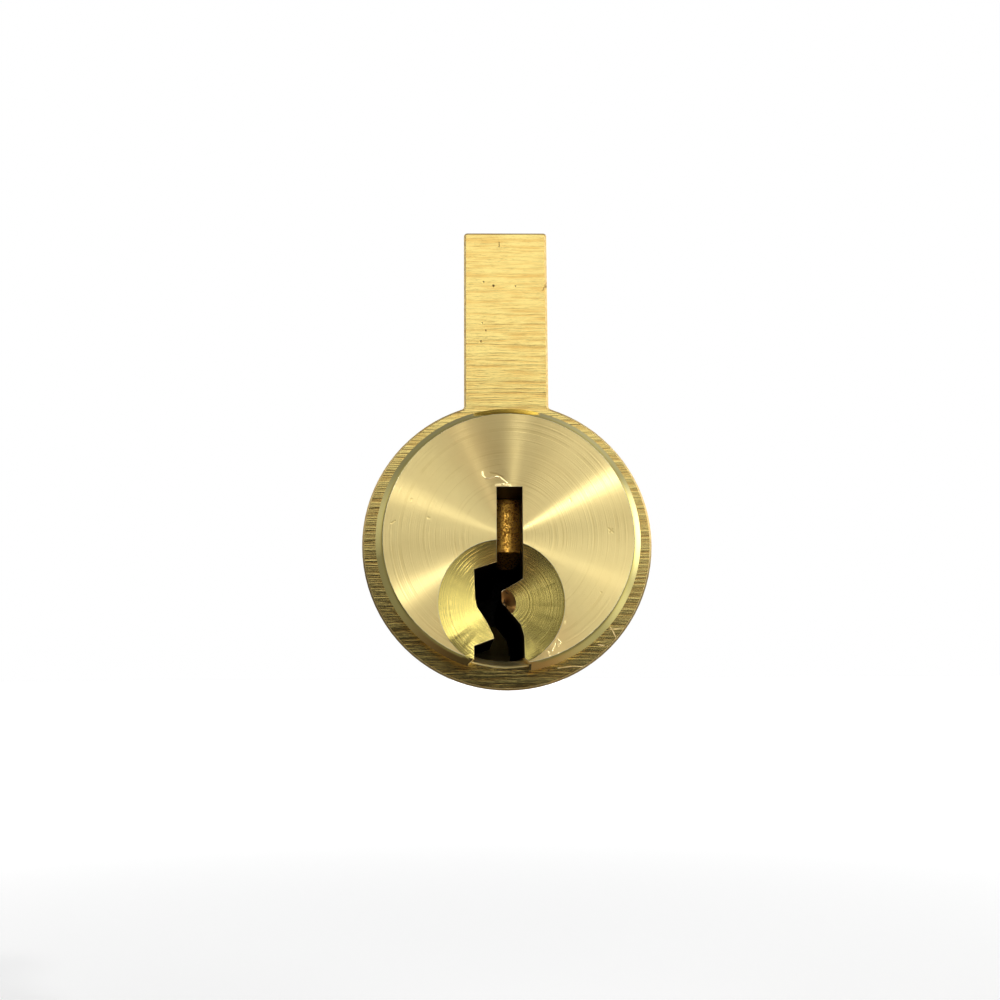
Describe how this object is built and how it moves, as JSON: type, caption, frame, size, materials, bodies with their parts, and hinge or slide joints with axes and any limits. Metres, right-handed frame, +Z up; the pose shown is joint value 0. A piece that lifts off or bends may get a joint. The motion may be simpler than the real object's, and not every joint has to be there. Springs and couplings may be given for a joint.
{
  "type": "key-in-lever lock cylinder",
  "caption": "Brass key-in-lever lock cylinder: a turned plug with a warded keyway in a barrel with an upright bible, sprung pin stacks, retaining cap and tailpiece.",
  "frame": {"origin": "on the plug's axis, in the plane of the shell's front face, where the cylinder seats in a lever's housing", "axes": "-Y out of the keyway towards the person with the key, +Y back along the plug to the tailpiece, +Z up through the bible and the pin stacks"},
  "size_m": [0.0158, 0.0454, 0.0259],
  "materials": {
    "shell_brass": "milled brass with straight horizontal tool lines",
    "plug_brass": "turned brass with fine concentric tool marks",
    "cap_brass": "turned brass",
    "cover_brass": "rolled brass strip",
    "pin_brass": "amber brass, darkened by handling oil",
    "driver_brass": "turned brass",
    "spring_bronze": "drawn bronze wire",
    "tailpiece_steel": "sheared steel bar"
  },
  "bodies": {
    "shell": {"shell": "shell_brass", "spring_cover": "cover_brass", "pin_spring_1": "spring_bronze", "pin_spring_2": "spring_bronze", "pin_spring_3": "spring_bronze", "pin_spring_4": "spring_bronze", "pin_spring_5": "spring_bronze", "pin_spring_6": "spring_bronze"},
    "plug": {"plug": "plug_brass", "plug_cap": "cap_brass", "cap_pin": "pin_brass", "cap_pin_spring": "spring_bronze", "tailpiece": "tailpiece_steel"},
    "bottom_pin_1": {"bottom_pin_1": "pin_brass"},
    "bottom_pin_2": {"bottom_pin_2": "pin_brass"},
    "bottom_pin_3": {"bottom_pin_3": "pin_brass"},
    "bottom_pin_4": {"bottom_pin_4": "pin_brass"},
    "bottom_pin_5": {"bottom_pin_5": "pin_brass"},
    "bottom_pin_6": {"bottom_pin_6": "pin_brass"},
    "driver_pin_1": {"driver_pin_1": "driver_brass"},
    "driver_pin_2": {"driver_pin_2": "driver_brass"},
    "driver_pin_3": {"driver_pin_3": "driver_brass"},
    "driver_pin_4": {"driver_pin_4": "driver_brass"},
    "driver_pin_5": {"driver_pin_5": "driver_brass"},
    "driver_pin_6": {"driver_pin_6": "driver_brass"}
  },
  "joints": [
    {"name": "plug_turn", "type": "hinge", "parent": "shell", "child": "plug", "pos_m": [0, 0.01336, 0], "axis": [0, 1, 0], "range_deg": [-360, 360]},
    {"name": "bottom_pin_1_slide", "type": "slide", "parent": "plug", "child": "bottom_pin_1", "axis": [0, 0, 1], "range_m": [-0.00036, 0.0024]},
    {"name": "bottom_pin_2_slide", "type": "slide", "parent": "plug", "child": "bottom_pin_2", "axis": [0, 0, 1], "range_m": [-0.00111, 0.0024]},
    {"name": "bottom_pin_3_slide", "type": "slide", "parent": "plug", "child": "bottom_pin_3", "axis": [0, 0, 1], "range_m": [-0.00071, 0.0024]},
    {"name": "bottom_pin_4_slide", "type": "slide", "parent": "plug", "child": "bottom_pin_4", "axis": [0, 0, 1], "range_m": [-0.00151, 0.0024]},
    {"name": "bottom_pin_5_slide", "type": "slide", "parent": "plug", "child": "bottom_pin_5", "axis": [0, 0, 1], "range_m": [-0.00091, 0.0024]},
    {"name": "bottom_pin_6_slide", "type": "slide", "parent": "plug", "child": "bottom_pin_6", "axis": [0, 0, 1], "range_m": [-0.00186, 0.0024]},
    {"name": "driver_pin_1_slide", "type": "slide", "parent": "shell", "child": "driver_pin_1", "axis": [0, 0, 1], "range_m": [-0.00036, 0.0024], "stiffness_N_per_m": 60, "springref_m": -0.004, "deforming": ["pin_spring_1"]},
    {"name": "driver_pin_2_slide", "type": "slide", "parent": "shell", "child": "driver_pin_2", "axis": [0, 0, 1], "range_m": [-0.00111, 0.0024], "stiffness_N_per_m": 60, "springref_m": -0.004, "deforming": ["pin_spring_2"]},
    {"name": "driver_pin_3_slide", "type": "slide", "parent": "shell", "child": "driver_pin_3", "axis": [0, 0, 1], "range_m": [-0.00071, 0.0024], "stiffness_N_per_m": 60, "springref_m": -0.004, "deforming": ["pin_spring_3"]},
    {"name": "driver_pin_4_slide", "type": "slide", "parent": "shell", "child": "driver_pin_4", "axis": [0, 0, 1], "range_m": [-0.00151, 0.0024], "stiffness_N_per_m": 60, "springref_m": -0.004, "deforming": ["pin_spring_4"]},
    {"name": "driver_pin_5_slide", "type": "slide", "parent": "shell", "child": "driver_pin_5", "axis": [0, 0, 1], "range_m": [-0.00091, 0.0024], "stiffness_N_per_m": 60, "springref_m": -0.004, "deforming": ["pin_spring_5"]},
    {"name": "driver_pin_6_slide", "type": "slide", "parent": "shell", "child": "driver_pin_6", "axis": [0, 0, 1], "range_m": [-0.00186, 0.0024], "stiffness_N_per_m": 60, "springref_m": -0.004, "deforming": ["pin_spring_6"]}
  ],
  "couplings": [
    {"joint": "driver_pin_1_slide", "follows": "bottom_pin_1_slide", "ratio": 1},
    {"joint": "driver_pin_2_slide", "follows": "bottom_pin_2_slide", "ratio": 1},
    {"joint": "driver_pin_3_slide", "follows": "bottom_pin_3_slide", "ratio": 1},
    {"joint": "driver_pin_4_slide", "follows": "bottom_pin_4_slide", "ratio": 1},
    {"joint": "driver_pin_5_slide", "follows": "bottom_pin_5_slide", "ratio": 1},
    {"joint": "driver_pin_6_slide", "follows": "bottom_pin_6_slide", "ratio": 1}
  ]
}
